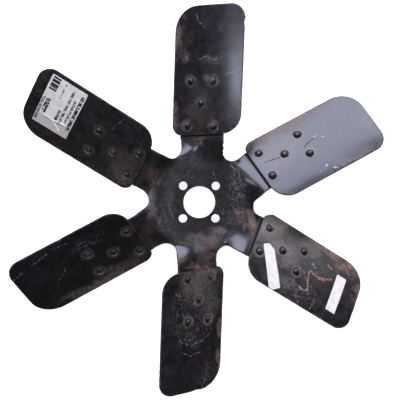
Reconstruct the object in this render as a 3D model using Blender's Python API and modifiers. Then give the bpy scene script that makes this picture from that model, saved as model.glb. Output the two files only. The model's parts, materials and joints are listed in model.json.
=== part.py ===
"""Six-blade engine cooling fan: a pressed steel spider with six cambered sheet blades riveted on.

The fan lies with its front face up. The origin is on the fan's axis, level with the lowest
blade edges, +Z points out of the front face and +Y runs up along blade 1. Blades are numbered
clockwise, seen from the front. Sheet pieces are drawn flat as a blank, given their thickness
and then pressed to shape, as the real ones are.
"""
import math

import bmesh
import bpy
from mathutils import Matrix, Vector
from mathutils.geometry import delaunay_2d_cdt

MM = 0.001

# Hub, with its bore and square of bolt holes
BORE_RADIUS = 19.05 * MM
BOLT_SQUARE_SIDE = 39.2 * MM
BOLT_HOLE_RADIUS = 5.0 * MM
MOUNTING_DISC_RADIUS = 35.0 * MM
STEP_OUTER_RADIUS = 66.0 * MM

# Arms: angles are from +X, places across an arm are positive to the right looking outward
ARM_COUNT = 6
ARM_NUMBERS = range(1, ARM_COUNT + 1)
ARM_SPACING = 2.0 * math.pi / ARM_COUNT
FIRST_ARM_ANGLE = math.radians(88.57)
SPIDER_THICKNESS = 3.2 * MM
NECK_STATION = 76.0 * MM
NECK_LEFT = -30.7 * MM
NECK_RIGHT = 24.9 * MM
ARM_END = 155.0 * MM
ARM_END_LEFT = -27.5 * MM
ARM_END_RIGHT = 20.5 * MM
ARM_CORNER_RADIUS = 10.0 * MM
TWIST_START = 48.0 * MM
TWIST_END = 76.0 * MM
TWIST_FADE_ANGLE = math.radians(6.0)

# Rounded valleys between arms: the one clockwise of arm 2 was left shallower in the stamping
VALLEY_RADIUS = 9.9 * MM
VALLEY_CENTRE_RADIUS = 70.4 * MM
SHALLOW_VALLEY_ARM = 2
SHALLOW_VALLEY_CENTRE_RADIUS = 75.2 * MM

# Blades: a station is a distance from the axis along the blade. Each corner of the outline
# has its station, its place across the blade and its rounding, from the inner left clockwise
BLADE_THICKNESS = 2.0 * MM
BLADE_HEIGHT = 6.5 * MM
PITCH = math.radians(29.7)
PITCH_STATION = 115.0 * MM
PITCH_CHANGE_PER_M = math.radians(-10.6)
CAMBER_RADIUS = 456.0 * MM
BLADE_CORNERS = [
    ((77.9 * MM, -40.9 * MM), 12.3 * MM),
    ((229.5 * MM, -40.0 * MM), 29.0 * MM),
    ((229.8 * MM, 46.3 * MM), 16.9 * MM),
    ((83.3 * MM, 46.1 * MM), 23.5 * MM),
]

# Rivets, five to a blade
RIVET_LINE = -3.8 * MM
OUTER_PAIR_STATION = 142.7 * MM
OUTER_PAIR_HALF_GAP = 14.5 * MM
MIDDLE_RIVET_STATION = 116.8 * MM
INNER_PAIR_STATION = 90.6 * MM
INNER_PAIR_HALF_GAP = 16.9 * MM
RIVET_HEAD_RADIUS = 4.6 * MM
RIVET_HEAD_HEIGHT = 3.2 * MM
RIVET_SHANK_RADIUS = 2.5 * MM
RIVET_TAIL_RADIUS = 4.1 * MM
RIVET_TAIL_HEIGHT = 2.2 * MM
RIVET_HOLE_RADIUS = 2.9 * MM

# Stuck-on paper, each with its blade, its length and width, its centre on the blade and its turn
PAPER_THICKNESS = 0.2 * MM
PAPERS = [
    ("paper_label", 6, (44.4 * MM, 63.8 * MM), (193.7 * MM, 10.0 * MM), 0.0),
    ("long_tape_strip", 3, (54.6 * MM, 13.6 * MM), (111.7 * MM, 21.4 * MM), math.radians(56.5)),
    ("short_tape_strip", 3, (47.8 * MM, 13.4 * MM), (201.0 * MM, 8.6 * MM), math.radians(89.0)),
]

# Gap kept between pieces that touch, and the fineness of the meshes
SEAT_GAP = 0.3 * MM
HOLE_SIDES = 12
BOLT_HOLE_SIDES = 20
BORE_SIDES = 48
STEP_SIDES = 36
STEP_RING_SPACING = 4.0 * MM
CORNER_SIDES = 7
VALLEY_SIDES = 10
BLADE_ROW_SPACING = 26.0 * MM
BLADE_COLUMN_SPACING = 14.0 * MM
ARM_ROW_SPACING = 9.0 * MM
ARM_COLUMN_SPACING = 11.0 * MM
EDGE_CLEARANCE = 4.0 * MM
PAPER_CELLS = 4
RIVET_SIDES = 12
HEAD_STEPS = 3
TAIL_STEPS = 2
SHARP_ANGLE = math.radians(35.0)
WELD_DISTANCE = 0.0001
MERGE_TOLERANCE = 1e-7
TRIANGLES_IN_OUTLINE = 1

# Finishes, each with its colour, roughness and metallic value
BLACK_PAINT = ((0.018, 0.017, 0.018), 0.42, 0.0)
WORN_PAINT = ((0.03, 0.024, 0.021), 0.55, 0.0)
RIVET_PAINT = ((0.024, 0.021, 0.02), 0.5, 0.0)
WHITE_PAPER = ((0.78, 0.78, 0.76), 0.8, 0.0)

# How far the arms' front faces lie behind the blades', and the hub disc's behind the arms'
ARM_DEPTH = BLADE_THICKNESS + SEAT_GAP
HUB_STEP = BLADE_HEIGHT - ARM_DEPTH


def clear_scene():
    for item in list(bpy.data.objects):
        bpy.data.objects.remove(item, do_unlink=True)


def finish(name, colour, roughness, metallic):
    material = bpy.data.materials.new(name)
    material.use_nodes = True
    shader = material.node_tree.nodes["Principled BSDF"]
    shader.inputs["Base Color"].default_value = (*colour, 1.0)
    shader.inputs["Roughness"].default_value = roughness
    shader.inputs["Metallic"].default_value = metallic
    material.diffuse_color = (*colour, 1.0)
    return material


def ease(share):
    """Rise smoothly from 0 to 1, level at both ends."""
    share = min(max(share, 0.0), 1.0)
    return share * share * (3.0 - 2.0 * share)


def pitch_at(station):
    return PITCH + PITCH_CHANGE_PER_M * (station - PITCH_STATION)


def pressed_point(station, across, depth, twist=1.0):
    """A sheet point in an arm's frame: x outward, y to the left, z to the front.

    depth is how far the point lies behind the blades' front face. twist runs from 0 on the
    hub, where the sheet is level, to 1 where it has the blade's pitch and camber.
    """
    pitch = pitch_at(station) * twist
    from_line = across - RIVET_LINE
    sag = depth + twist * from_line * from_line / (2.0 * CAMBER_RADIUS)
    right = across * math.cos(pitch) + sag * math.sin(pitch)
    height = BLADE_HEIGHT + from_line * math.sin(pitch) - sag * math.cos(pitch)
    return Vector((station, -right, height))


def arm_angle(number):
    """Direction of an arm from +X; arm 1 points up and the rest follow clockwise."""
    return FIRST_ARM_ANGLE - (number - 1) * ARM_SPACING


def blank_point(angle, station, across):
    """A point of a flat blank, from its place on the arm or blade that points at angle."""
    outward = Vector((math.cos(angle), math.sin(angle)))
    to_right = Vector((math.sin(angle), -math.cos(angle)))
    return outward * station + to_right * across


def circle_loop(centre, radius, sides):
    steps = (2.0 * math.pi * index / sides for index in range(sides))
    return [centre + radius * Vector((math.cos(step), math.sin(step))) for step in steps]


def arc_between(centre, start, end, sides):
    """Points along the shorter arc about centre, from start to end."""
    from_centre = start - centre
    step = -from_centre.angle_signed(end - centre) / sides
    turns = [Matrix.Rotation(step * index, 2) for index in range(sides + 1)]
    return [centre + turn @ from_centre for turn in turns]


def corner_arc(before, corner, after, radius):
    """The round that replaces a corner between two straight runs."""
    to_before = (before - corner).normalized()
    to_after = (after - corner).normalized()
    half_angle = to_before.angle(to_after) / 2.0
    reach = radius / math.tan(half_angle)
    centre = corner + (to_before + to_after).normalized() * radius / math.sin(half_angle)
    return arc_between(centre, corner + to_before * reach, corner + to_after * reach, CORNER_SIDES)


def points_between(start, end, spacing):
    """Evenly spaced points strictly between start and end."""
    count = max(1, round((end - start).length / spacing))
    return [start.lerp(end, index / count) for index in range(1, count)]


def closed_outline(stretches, spacing):
    """Join stretches of points by straight runs, cut into steps of about spacing."""
    loop = []
    for stretch, following in zip(stretches, stretches[1:] + stretches[:1]):
        loop.extend(stretch)
        loop.extend(points_between(stretch[-1], following[0], spacing))
    return loop


def is_inside(point, loops):
    """True where point lies in the outline and outside its holes."""
    crossings = 0
    for loop in loops:
        for start, end in zip(loop, loop[1:] + loop[:1]):
            if (start.y > point.y) == (end.y > point.y):
                continue
            share = (point.y - start.y) / (end.y - start.y)
            if start.x + share * (end.x - start.x) > point.x:
                crossings += 1
    return crossings % 2 == 1


def has_room(point, loops):
    """True where point lies in the sheet and not too near the points of its edges."""
    if not is_inside(point, loops):
        return False
    return all((point - corner).length > EDGE_CLEARANCE for loop in loops for corner in loop)


def sheet_blank(loops, inner_points, thickness):
    """A flat sheet from z = 0 down to -thickness: an outline first, then holes, in loops."""
    points = []
    edges = []
    for loop in loops:
        first = len(points)
        points.extend(loop)
        edges.extend((first + index, first + (index + 1) % len(loop)) for index in range(len(loop)))
    points.extend(point for point in inner_points if has_room(point, loops))
    result = delaunay_2d_cdt(points, edges, [], TRIANGLES_IN_OUTLINE, MERGE_TOLERANCE)
    corners, _, triangles = result[:3]
    blank = bmesh.new()
    verts = [blank.verts.new((corner.x, corner.y, 0.0)) for corner in corners]
    for triangle in triangles:
        centre = sum((corners[index] for index in triangle), Vector((0.0, 0.0))) / 3.0
        if is_inside(centre, loops):
            blank.faces.new([verts[index] for index in triangle])
    thicken(blank, thickness)
    return blank


def thicken(sheet, thickness):
    """Turn a flat sheet at z = 0 into a solid that reaches down to -thickness."""
    result = bmesh.ops.extrude_face_region(sheet, geom=list(sheet.faces))
    lower = [item for item in result["geom"] if isinstance(item, bmesh.types.BMVert)]
    bmesh.ops.translate(sheet, verts=lower, vec=(0.0, 0.0, -thickness))
    bmesh.ops.recalc_face_normals(sheet, faces=list(sheet.faces))


def press(sheet, shape):
    """Move every point of a flat solid sheet to its place in the pressed piece."""
    for vert in sheet.verts:
        vert.co = shape(vert.co.x, vert.co.y, -vert.co.z)


def finished_mesh(name, sheet, material):
    mesh = bpy.data.meshes.new(name)
    sheet.to_mesh(mesh)
    sheet.free()
    mesh.materials.append(material)
    mesh.shade_smooth()
    mesh.set_sharp_from_angle(angle=SHARP_ANGLE)
    return mesh


def rivet_places():
    """Name, station and place across the blade of each of its five rivets."""
    return [
        ("outer_left", OUTER_PAIR_STATION, RIVET_LINE - OUTER_PAIR_HALF_GAP),
        ("outer_right", OUTER_PAIR_STATION, RIVET_LINE + OUTER_PAIR_HALF_GAP),
        ("middle", MIDDLE_RIVET_STATION, RIVET_LINE),
        ("inner_left", INNER_PAIR_STATION, RIVET_LINE - INNER_PAIR_HALF_GAP),
        ("inner_right", INNER_PAIR_STATION, RIVET_LINE + INNER_PAIR_HALF_GAP),
    ]


def grid_points(stations, places_across):
    return [Vector((station, across)) for station in stations for across in places_across]


def even_steps(first, last, spacing):
    count = round((last - first) / spacing)
    return [first + (last - first) * index / count for index in range(count + 1)]


def tangent_point(centre, outside, side):
    """Where a straight run from outside touches the valley's circle."""
    to_outside = (outside - centre).normalized()
    spread = math.acos(VALLEY_RADIUS / (outside - centre).length)
    return centre + Matrix.Rotation(side * spread, 2) @ to_outside * VALLEY_RADIUS


def valley_arc(number):
    """The rounded valley between an arm's right side and the next arm's left side."""
    left_arm = arm_angle(number)
    middle = left_arm - ARM_SPACING / 2.0
    shallow = number == SHALLOW_VALLEY_ARM
    centre_radius = SHALLOW_VALLEY_CENTRE_RADIUS if shallow else VALLEY_CENTRE_RADIUS
    centre = blank_point(middle, centre_radius, 0.0)
    bottom = blank_point(middle, centre_radius - VALLEY_RADIUS, 0.0)
    start = tangent_point(centre, blank_point(left_arm, NECK_STATION, NECK_RIGHT), 1.0)
    end = tangent_point(centre, blank_point(left_arm - ARM_SPACING, NECK_STATION, NECK_LEFT), -1.0)
    first_half = arc_between(centre, start, bottom, VALLEY_SIDES // 2)
    second_half = arc_between(centre, bottom, end, VALLEY_SIDES // 2)
    return first_half + second_half[1:]


def spider_outline():
    stretches = []
    for number in ARM_NUMBERS:
        angle = arm_angle(number)
        neck_left = blank_point(angle, NECK_STATION, NECK_LEFT)
        end_left = blank_point(angle, ARM_END, ARM_END_LEFT)
        end_right = blank_point(angle, ARM_END, ARM_END_RIGHT)
        neck_right = blank_point(angle, NECK_STATION, NECK_RIGHT)
        stretches.append([neck_left])
        stretches.append(corner_arc(neck_left, end_left, end_right, ARM_CORNER_RADIUS))
        stretches.append(corner_arc(end_left, end_right, neck_right, ARM_CORNER_RADIUS))
        stretches.append([neck_right])
        stretches.append(valley_arc(number))
    return closed_outline(stretches, ARM_ROW_SPACING)


def hub_holes():
    half = BOLT_SQUARE_SIDE / 2.0
    holes = [circle_loop(Vector((0.0, 0.0)), BORE_RADIUS, BORE_SIDES)]
    for x in (-half, half):
        for y in (-half, half):
            holes.append(circle_loop(Vector((x, y)), BOLT_HOLE_RADIUS, BOLT_HOLE_SIDES))
    return holes


def spider_shape(x, y, depth):
    """Place of a point of the spider's flat blank once the hub step and the arms are pressed."""
    radius = math.hypot(x, y)
    angle = math.atan2(y, x)
    nearest_arm = arm_angle(1 + round((FIRST_ARM_ANGLE - angle) / ARM_SPACING))
    station = radius * math.cos(angle - nearest_arm)
    across = -radius * math.sin(angle - nearest_arm)
    fade = ease((ARM_SPACING / 2.0 - abs(angle - nearest_arm)) / TWIST_FADE_ANGLE)
    twist = fade * ease((station - TWIST_START) / (TWIST_END - TWIST_START))
    point = pressed_point(station, across, ARM_DEPTH + depth, twist)
    climb = ease((radius - MOUNTING_DISC_RADIUS) / (STEP_OUTER_RADIUS - MOUNTING_DISC_RADIUS))
    point.z -= HUB_STEP * (1.0 - climb)
    return Matrix.Rotation(nearest_arm, 3, "Z") @ point


def make_spider(material):
    rivet_holes = []
    inner_points = []
    arm_grid = grid_points(
        even_steps(TWIST_START, OUTER_PAIR_STATION, ARM_ROW_SPACING),
        even_steps(ARM_END_LEFT, ARM_END_RIGHT, ARM_COLUMN_SPACING),
    )
    for number in ARM_NUMBERS:
        angle = arm_angle(number)
        for _, station, across in rivet_places():
            centre = blank_point(angle, station, across)
            rivet_holes.append(circle_loop(centre, RIVET_HOLE_RADIUS, HOLE_SIDES))
        inner_points.extend(blank_point(angle, place.x, place.y) for place in arm_grid)
    step_radii = even_steps(MOUNTING_DISC_RADIUS, STEP_OUTER_RADIUS, STEP_RING_SPACING)
    for radius in step_radii:
        inner_points.extend(circle_loop(Vector((0.0, 0.0)), radius, STEP_SIDES))
    loops = [spider_outline()] + hub_holes() + rivet_holes
    blank = sheet_blank(loops, inner_points, SPIDER_THICKNESS)
    press(blank, spider_shape)
    return finished_mesh("spider", blank, material)


def blade_shape(x, y, depth):
    """Place of a point of a blank that points along +X once it has its pitch and camber."""
    return pressed_point(x, -y, depth)


def make_blade(material):
    corners = [blank_point(0.0, *corner) for corner, _ in BLADE_CORNERS]
    arcs = []
    for index, (_, radius) in enumerate(BLADE_CORNERS):
        following = corners[(index + 1) % len(corners)]
        arcs.append(corner_arc(corners[index - 1], corners[index], following, radius))
    outline = closed_outline(arcs, BLADE_COLUMN_SPACING)
    rivet_centres = [blank_point(0.0, station, across) for _, station, across in rivet_places()]
    holes = [circle_loop(centre, RIVET_HOLE_RADIUS, HOLE_SIDES) for centre in rivet_centres]
    xs = [corner.x for corner in corners]
    ys = [corner.y for corner in corners]
    inner_points = grid_points(
        even_steps(min(xs), max(xs), BLADE_ROW_SPACING),
        even_steps(min(ys), max(ys), BLADE_COLUMN_SPACING),
    )
    blank = sheet_blank([outline] + holes, inner_points, BLADE_THICKNESS)
    press(blank, blade_shape)
    return finished_mesh("blade", blank, material)


def rivet_profile():
    """Half section from the top of the head down to the tip of the tail."""
    grip = BLADE_THICKNESS + SPIDER_THICKNESS + 3.0 * SEAT_GAP
    points = []
    for step in range(HEAD_STEPS + 1):
        angle = math.pi / 2.0 * (1.0 - step / HEAD_STEPS)
        points.append((RIVET_HEAD_RADIUS * math.cos(angle), RIVET_HEAD_HEIGHT * math.sin(angle)))
    points.append((RIVET_SHANK_RADIUS, 0.0))
    points.append((RIVET_SHANK_RADIUS, -grip))
    for step in range(TAIL_STEPS + 1):
        angle = math.pi / 2.0 * step / TAIL_STEPS
        height = -grip - RIVET_TAIL_HEIGHT * math.sin(angle)
        points.append((RIVET_TAIL_RADIUS * math.cos(angle), height))
    return points


def make_rivet(material):
    profile = bmesh.new()
    verts = [profile.verts.new((radius, 0.0, height)) for radius, height in rivet_profile()]
    for upper, lower in zip(verts, verts[1:]):
        profile.edges.new((upper, lower))
    mesh = bpy.data.meshes.new("rivet")
    profile.to_mesh(mesh)
    profile.free()
    mesh.materials.append(material)
    return mesh


def turn_profile(item):
    screw = item.modifiers.new("turned", "SCREW")
    screw.steps = RIVET_SIDES
    screw.render_steps = RIVET_SIDES
    screw.use_merge_vertices = True
    screw.merge_threshold = WELD_DISTANCE
    screw.use_smooth_shade = True


def rivet_placement(station, across):
    """A rivet's place in its arm's frame, its axis square to the blade's surface."""
    slope = pitch_at(station) - (across - RIVET_LINE) / CAMBER_RADIUS
    seat = pressed_point(station, across, -SEAT_GAP)
    return Matrix.Translation(seat) @ Matrix.Rotation(-slope, 4, "X")


def make_paper(name, size, centre, turn, material):
    """A rectangle of paper lying on a blade, turned clockwise from the blade's length."""
    middle = blank_point(0.0, *centre)
    sheet = bmesh.new()
    bmesh.ops.create_grid(sheet, x_segments=PAPER_CELLS, y_segments=PAPER_CELLS, size=0.5)
    bmesh.ops.scale(sheet, verts=sheet.verts, vec=(size[0], size[1], 1.0))
    bmesh.ops.rotate(sheet, verts=sheet.verts, matrix=Matrix.Rotation(-turn, 3, "Z"))
    bmesh.ops.translate(sheet, verts=sheet.verts, vec=(middle.x, middle.y, 0.0))
    thicken(sheet, PAPER_THICKNESS)
    press(sheet, lambda x, y, depth: blade_shape(x, y, depth - SEAT_GAP - PAPER_THICKNESS))
    return finished_mesh(name, sheet, material)


def add_object(name, mesh, collection, placement):
    item = bpy.data.objects.new(name, mesh)
    collection.objects.link(item)
    item.matrix_world = placement
    return item


def main():
    clear_scene()
    fan = bpy.data.collections.new("cooling_fan")
    bpy.context.scene.collection.children.link(fan)
    blade = make_blade(finish("black_paint", *BLACK_PAINT))
    spider = make_spider(finish("worn_paint", *WORN_PAINT))
    rivet = make_rivet(finish("rivet_paint", *RIVET_PAINT))
    white_paper = finish("white_paper", *WHITE_PAPER)
    lift = -min(vert.co.z for vert in blade.vertices)
    hub_placement = Matrix.Translation((0.0, 0.0, lift))
    add_object("spider", spider, fan, hub_placement)
    for number in ARM_NUMBERS:
        on_arm = hub_placement @ Matrix.Rotation(arm_angle(number), 4, "Z")
        add_object(f"blade_{number}", blade, fan, on_arm)
        for place, station, across in rivet_places():
            placement = on_arm @ rivet_placement(station, across)
            turn_profile(add_object(f"rivet_{number}_{place}", rivet, fan, placement))
    for name, number, size, centre, turn in PAPERS:
        on_arm = hub_placement @ Matrix.Rotation(arm_angle(number), 4, "Z")
        paper = make_paper(name, size, centre, turn, white_paper)
        add_object(name, paper, fan, on_arm)
    bpy.context.view_layer.update()


main()
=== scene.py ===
"""Looks of a six-blade engine cooling fan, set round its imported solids.

Each sheet piece starts as a flat blank with worn, rounded edges and is then pressed to shape by
the same rule as the solid it stands for. Blades and papers are pressed by one geometry node
tree, and a second tree sets the rivets. All sizes are real ones, in metres.
"""

import json
import math
from functools import partial

import bmesh
import bpy
from mathutils import Matrix, Vector, kdtree, noise
from mathutils.geometry import delaunay_2d_cdt


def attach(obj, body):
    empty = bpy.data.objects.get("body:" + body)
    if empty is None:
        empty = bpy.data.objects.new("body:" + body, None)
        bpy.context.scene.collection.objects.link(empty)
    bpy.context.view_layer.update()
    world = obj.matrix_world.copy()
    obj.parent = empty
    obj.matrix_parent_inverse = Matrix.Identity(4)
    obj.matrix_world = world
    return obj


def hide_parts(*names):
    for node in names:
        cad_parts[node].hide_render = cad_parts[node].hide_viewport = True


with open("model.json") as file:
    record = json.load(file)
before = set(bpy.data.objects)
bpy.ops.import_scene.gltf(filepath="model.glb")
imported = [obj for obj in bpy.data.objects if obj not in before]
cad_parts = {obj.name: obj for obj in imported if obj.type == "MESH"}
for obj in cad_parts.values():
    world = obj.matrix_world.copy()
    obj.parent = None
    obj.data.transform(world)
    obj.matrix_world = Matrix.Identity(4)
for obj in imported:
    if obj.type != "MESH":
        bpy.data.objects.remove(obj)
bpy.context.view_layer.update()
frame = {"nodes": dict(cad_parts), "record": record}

MM = 0.001
BODY = "root"

# The photograph's viewpoint, in metres and degrees
CAMERA_PLACE = (-0.05633, 0.06342, 0.66531)
CAMERA_TILT = (-4.3416, -5.9657, 0.5783)
CAMERA_LENS_MM = 49.06
CAMERA_SENSOR_MM = 36.0
CAMERA_CLIP_START = 0.01
CAMERA_SHIFT = (-0.0204, -0.0255)

# Hub, with its bore and square of bolt holes
HUB_FRONT = next(m for m in frame["record"]["mounts"] if m["name"] == "hub_front_face")["pos_m"][2]
BORE_RADIUS = 19.05 * MM
BOLT_SQUARE_SIDE = 39.2 * MM
BOLT_HOLE_RADIUS = 5.0 * MM
MOUNTING_DISC_RADIUS = 35.0 * MM
STEP_OUTER_RADIUS = 66.0 * MM

# Arms: angles are from +X, places across an arm are positive to the right looking outward
ARM_COUNT = 6
ARM_NUMBERS = range(1, ARM_COUNT + 1)
ARM_SPACING = 2.0 * math.pi / ARM_COUNT
FIRST_ARM_ANGLE = math.radians(88.57)
SPIDER_THICKNESS = 3.2 * MM
NECK_STATION = 76.0 * MM
NECK_LEFT = -30.7 * MM
NECK_RIGHT = 24.9 * MM
ARM_END = 155.0 * MM
ARM_END_LEFT = -27.5 * MM
ARM_END_RIGHT = 20.5 * MM
ARM_CORNER_RADIUS = 10.0 * MM
TWIST_START = 48.0 * MM
TWIST_END = 76.0 * MM
TWIST_FADE_ANGLE = math.radians(6.0)
VALLEY_RADIUS = 9.9 * MM
VALLEY_CENTRE_RADIUS = 70.4 * MM
SHALLOW_VALLEY_ARM = 2
SHALLOW_VALLEY_CENTRE_RADIUS = 75.2 * MM

# Blades: a station is a distance from the axis along the blade. Each corner of the outline
# has its station, its place across the blade and its rounding, from the inner left clockwise
BLADE_THICKNESS = 2.0 * MM
BLADE_HEIGHT = 6.5 * MM
PITCH = math.radians(29.7)
PITCH_STATION = 115.0 * MM
PITCH_CHANGE_PER_M = math.radians(-10.6)
CAMBER_RADIUS = 456.0 * MM
BLADE_CORNERS = [
    ((77.9 * MM, -40.9 * MM), 12.3 * MM),
    ((229.5 * MM, -40.0 * MM), 29.0 * MM),
    ((229.8 * MM, 46.3 * MM), 16.9 * MM),
    ((83.3 * MM, 46.1 * MM), 23.5 * MM),
]
SEAT_GAP = 0.3 * MM
ARM_DEPTH = BLADE_THICKNESS + SEAT_GAP
HUB_STEP = BLADE_HEIGHT - ARM_DEPTH

# Rivets, five to a blade
RIVET_LINE = -3.8 * MM
OUTER_PAIR_STATION = 142.7 * MM
OUTER_PAIR_HALF_GAP = 14.5 * MM
MIDDLE_RIVET_STATION = 116.8 * MM
INNER_PAIR_STATION = 90.6 * MM
INNER_PAIR_HALF_GAP = 16.9 * MM
RIVET_HEAD_RADIUS = 4.75 * MM
RIVET_HEAD_HEIGHT = 3.4 * MM
RIVET_DOME_POWER = 0.9
RIVET_HEAD_SINK = 0.05 * MM
RIVET_SHANK_RADIUS = 2.5 * MM
RIVET_TAIL_RADIUS = 4.1 * MM
RIVET_TAIL_HEIGHT = 2.2 * MM
RIVET_HOLE_RADIUS = 2.7 * MM
RIVET_SIDES = 28
RIVET_HEAD_STEPS = 8
RIVET_TAIL_STEPS = 5
# Share of the head's radius where painted shade on its lower rim begins, and the share over which it
# deepens
RIVET_FOOT_SHARE = 0.7
RIVET_FOOT_FADE = 0.25
RIVET_SHARP_ANGLE = math.radians(50.0)

# Stuck-on papers, and how far they crease and buckle off the paint
PAPER_THICKNESS = 0.15 * MM
PAPER_CLEARANCE = 0.04 * MM
PAPER_CELL = 1.3 * MM
PAPER_ROUNDING = 0.03 * MM
CREASE_PLACE = 18.0 * MM
CREASE_WIDTH = 1.6 * MM
CREASE_HEIGHT = 0.3 * MM
CREASE_HALF_LENGTH = 14.0 * MM
BUCKLE_LENGTH = 9.0 * MM
BUCKLE_HEIGHT = 0.25 * MM

# Each paper has its blade, its centre on the blade, its turn, its corners in mm along and across
# it, and their rounding
PAPERS = {
    "paper_label": (
        6, (193.7 * MM, 10.0 * MM), 0.0,
        [(-22.2, -31.9), (22.2, -31.9), (22.2, 31.9), (-22.2, 31.9)], 1.0 * MM,
    ),
    "long_tape_strip": (
        3, (111.7 * MM, 21.4 * MM), math.radians(56.5),
        [(-27.6, -6.6), (24.0, -7.6), (27.8, -3.0), (26.4, 7.2), (-20.0, 6.9), (-27.6, 2.0)],
        1.6 * MM,
    ),
    "short_tape_strip": (
        3, (201.0 * MM, 8.6 * MM), math.radians(89.0),
        [(-24.2, -6.8), (23.8, -7.0), (24.2, 6.5), (-23.5, 7.0)], 0.8 * MM,
    ),
}

# Fineness of the meshes, lengths too small to see, and the wear of sheared edges
CELL = 2.4 * MM
EDGE_STEP = 1.6 * MM
EDGE_ROUNDING = 0.45 * MM
EDGE_ROUNDING_STEPS = 3
GUARD_INSET = 1.3 * MM
HOLE_SIDES = 24
BORE_SIDES = 72
ARC_STEP = math.radians(5.0)
CLEAR_OF_EDGE_SHARE = 0.62
MERGE_TOLERANCE = 1e-7
HAIR = 1e-6
TRIANGLES_IN_OUTLINE = 1
FADE_FROM_RIM = 14.0 * MM
SEAT_REACH = 7.0 * MM
SHEAR_WANDER = 0.3 * MM
SHEAR_WANDER_LENGTH = 9.0 * MM
FINE_WANDER_RATE = 3.1
FINE_WANDER_SHARE = 0.35
SPIDER_SHEAR_SEED = 20.0
PAPER_SHEAR_SEED = 30.0


def linear(hex_colour):
    """A colour written as sRGB hex, as linear red, green, blue and alpha."""
    parts = [int(hex_colour[index:index + 2], 16) / 255.0 for index in (0, 2, 4)]
    lit = [part / 12.92 if part <= 0.04045 else ((part + 0.055) / 1.055) ** 2.4 for part in parts]
    return (*lit, 1.0)


def give(tree, node, sockets):
    """Give a node's sockets, by name or number, their values or links."""
    for socket, value in sockets.items():
        if isinstance(value, bpy.types.NodeSocket):
            tree.links.new(value, node.inputs[socket])
        else:
            node.inputs[socket].default_value = value


def add_node(tree, kind, sockets=(), output=0, **settings):
    """Add a node with its settings, give its sockets values or links, and return one output.

    sockets is a dict by name or number, or a list in the node's own order.
    """
    node = tree.nodes.new(kind)
    for name, value in settings.items():
        setattr(node, name, value)
    give(tree, node, sockets if isinstance(sockets, dict) else dict(enumerate(sockets)))
    return node.outputs[output] if node.outputs else node


def ease(share):
    """Rise smoothly from 0 to 1, level at both ends."""
    share = min(max(share, 0.0), 1.0)
    return share * share * (3.0 - 2.0 * share)


# Shapes of the sheets

def pitch_at(station):
    return PITCH + PITCH_CHANGE_PER_M * (station - PITCH_STATION)


def pressed_point(station, across, depth, twist=1.0):
    """A sheet point in an arm's frame: x outward, y to the left, z to the front.

    depth is how far the point lies behind the blades' front face. twist runs from 0 on the
    hub, where the sheet is level, to 1 where it has the blade's pitch and camber.
    """
    pitch = pitch_at(station) * twist
    from_line = across - RIVET_LINE
    sag = depth + twist * from_line * from_line / (2.0 * CAMBER_RADIUS)
    right = across * math.cos(pitch) + sag * math.sin(pitch)
    height = BLADE_HEIGHT + from_line * math.sin(pitch) - sag * math.cos(pitch)
    return Vector((station, -right, height))


def arm_angle(number):
    """Direction of an arm from +X; arm 1 points up and the rest follow clockwise."""
    return FIRST_ARM_ANGLE - (number - 1) * ARM_SPACING


def arm_placement(number):
    return Matrix.Translation((0.0, 0.0, HUB_FRONT)) @ Matrix.Rotation(arm_angle(number), 4, "Z")


def blank_point(angle, station, across):
    """A point of a flat blank, from its place on the arm or blade that points at angle."""
    outward = Vector((math.cos(angle), math.sin(angle)))
    to_right = Vector((math.sin(angle), -math.cos(angle)))
    return outward * station + to_right * across


def circle_loop(centre, radius, sides):
    steps = (2.0 * math.pi * index / sides for index in range(sides))
    return [centre + radius * Vector((math.cos(step), math.sin(step))) for step in steps]


def arc_between(centre, start, end):
    """Points along the shorter arc about centre, from start to end."""
    from_centre = start - centre
    angle = -from_centre.angle_signed(end - centre)
    sides = max(2, round(abs(angle) / ARC_STEP))
    turns = [Matrix.Rotation(angle * index / sides, 2) for index in range(sides + 1)]
    return [centre + turn @ from_centre for turn in turns]


def corner_arc(before, corner, after, radius):
    """The round that replaces a corner between two straight runs."""
    to_before = (before - corner).normalized()
    to_after = (after - corner).normalized()
    half_angle = to_before.angle(to_after) / 2.0
    reach = radius / math.tan(half_angle)
    centre = corner + (to_before + to_after).normalized() * radius / math.sin(half_angle)
    return arc_between(centre, corner + to_before * reach, corner + to_after * reach)


def signed_area(loop):
    return sum(a.cross(b) for a, b in zip(loop, loop[1:] + loop[:1])) / 2.0


def closed_outline(stretches):
    """Join stretches of points by straight runs, cut into short steps, into one outline.

    It runs anticlockwise.
    """
    loop = []
    for stretch, following in zip(stretches, stretches[1:] + stretches[:1]):
        loop.extend(stretch)
        start, end = stretch[-1], following[0]
        count = max(1, round((end - start).length / EDGE_STEP))
        loop.extend(start.lerp(end, index / count) for index in range(1, count))
    return loop if signed_area(loop) > 0.0 else loop[::-1]


def rounded_outline(corners, radii):
    """The outline of a straight-sided blank, with each corner rounded by its own radius."""
    arcs = []
    for index, radius in enumerate(radii):
        following = corners[(index + 1) % len(corners)]
        arcs.append(corner_arc(corners[index - 1], corners[index], following, radius))
    return closed_outline(arcs)


def offset_loop(loop, distances):
    """The anticlockwise loop with each point moved inwards by its own distance."""
    moved = []
    for index, point in enumerate(loop):
        along = (loop[(index + 1) % len(loop)] - loop[index - 1]).normalized()
        moved.append(point + Vector((-along.y, along.x)) * distances[index])
    return moved


def sheared_outline(loop, seed, nicks=()):
    """The outline as the shears and years left it: wandering a little inwards, with its nicks.

    Each nick has its place on the blank, its reach along the edge and its depth.
    """
    depths = []
    for point in loop:
        spot = Vector((point.x, point.y, 0.0)) / SHEAR_WANDER_LENGTH + Vector((0.0, 0.0, seed))
        fine = abs(noise.noise(spot * FINE_WANDER_RATE)) * FINE_WANDER_SHARE
        depth = SHEAR_WANDER * (abs(noise.noise(spot)) + fine)
        for place, reach, bite in nicks:
            depth += bite * ease(1.0 - (point - Vector(place)).length / reach)
        depths.append(depth)
    return offset_loop(loop, depths)


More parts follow.
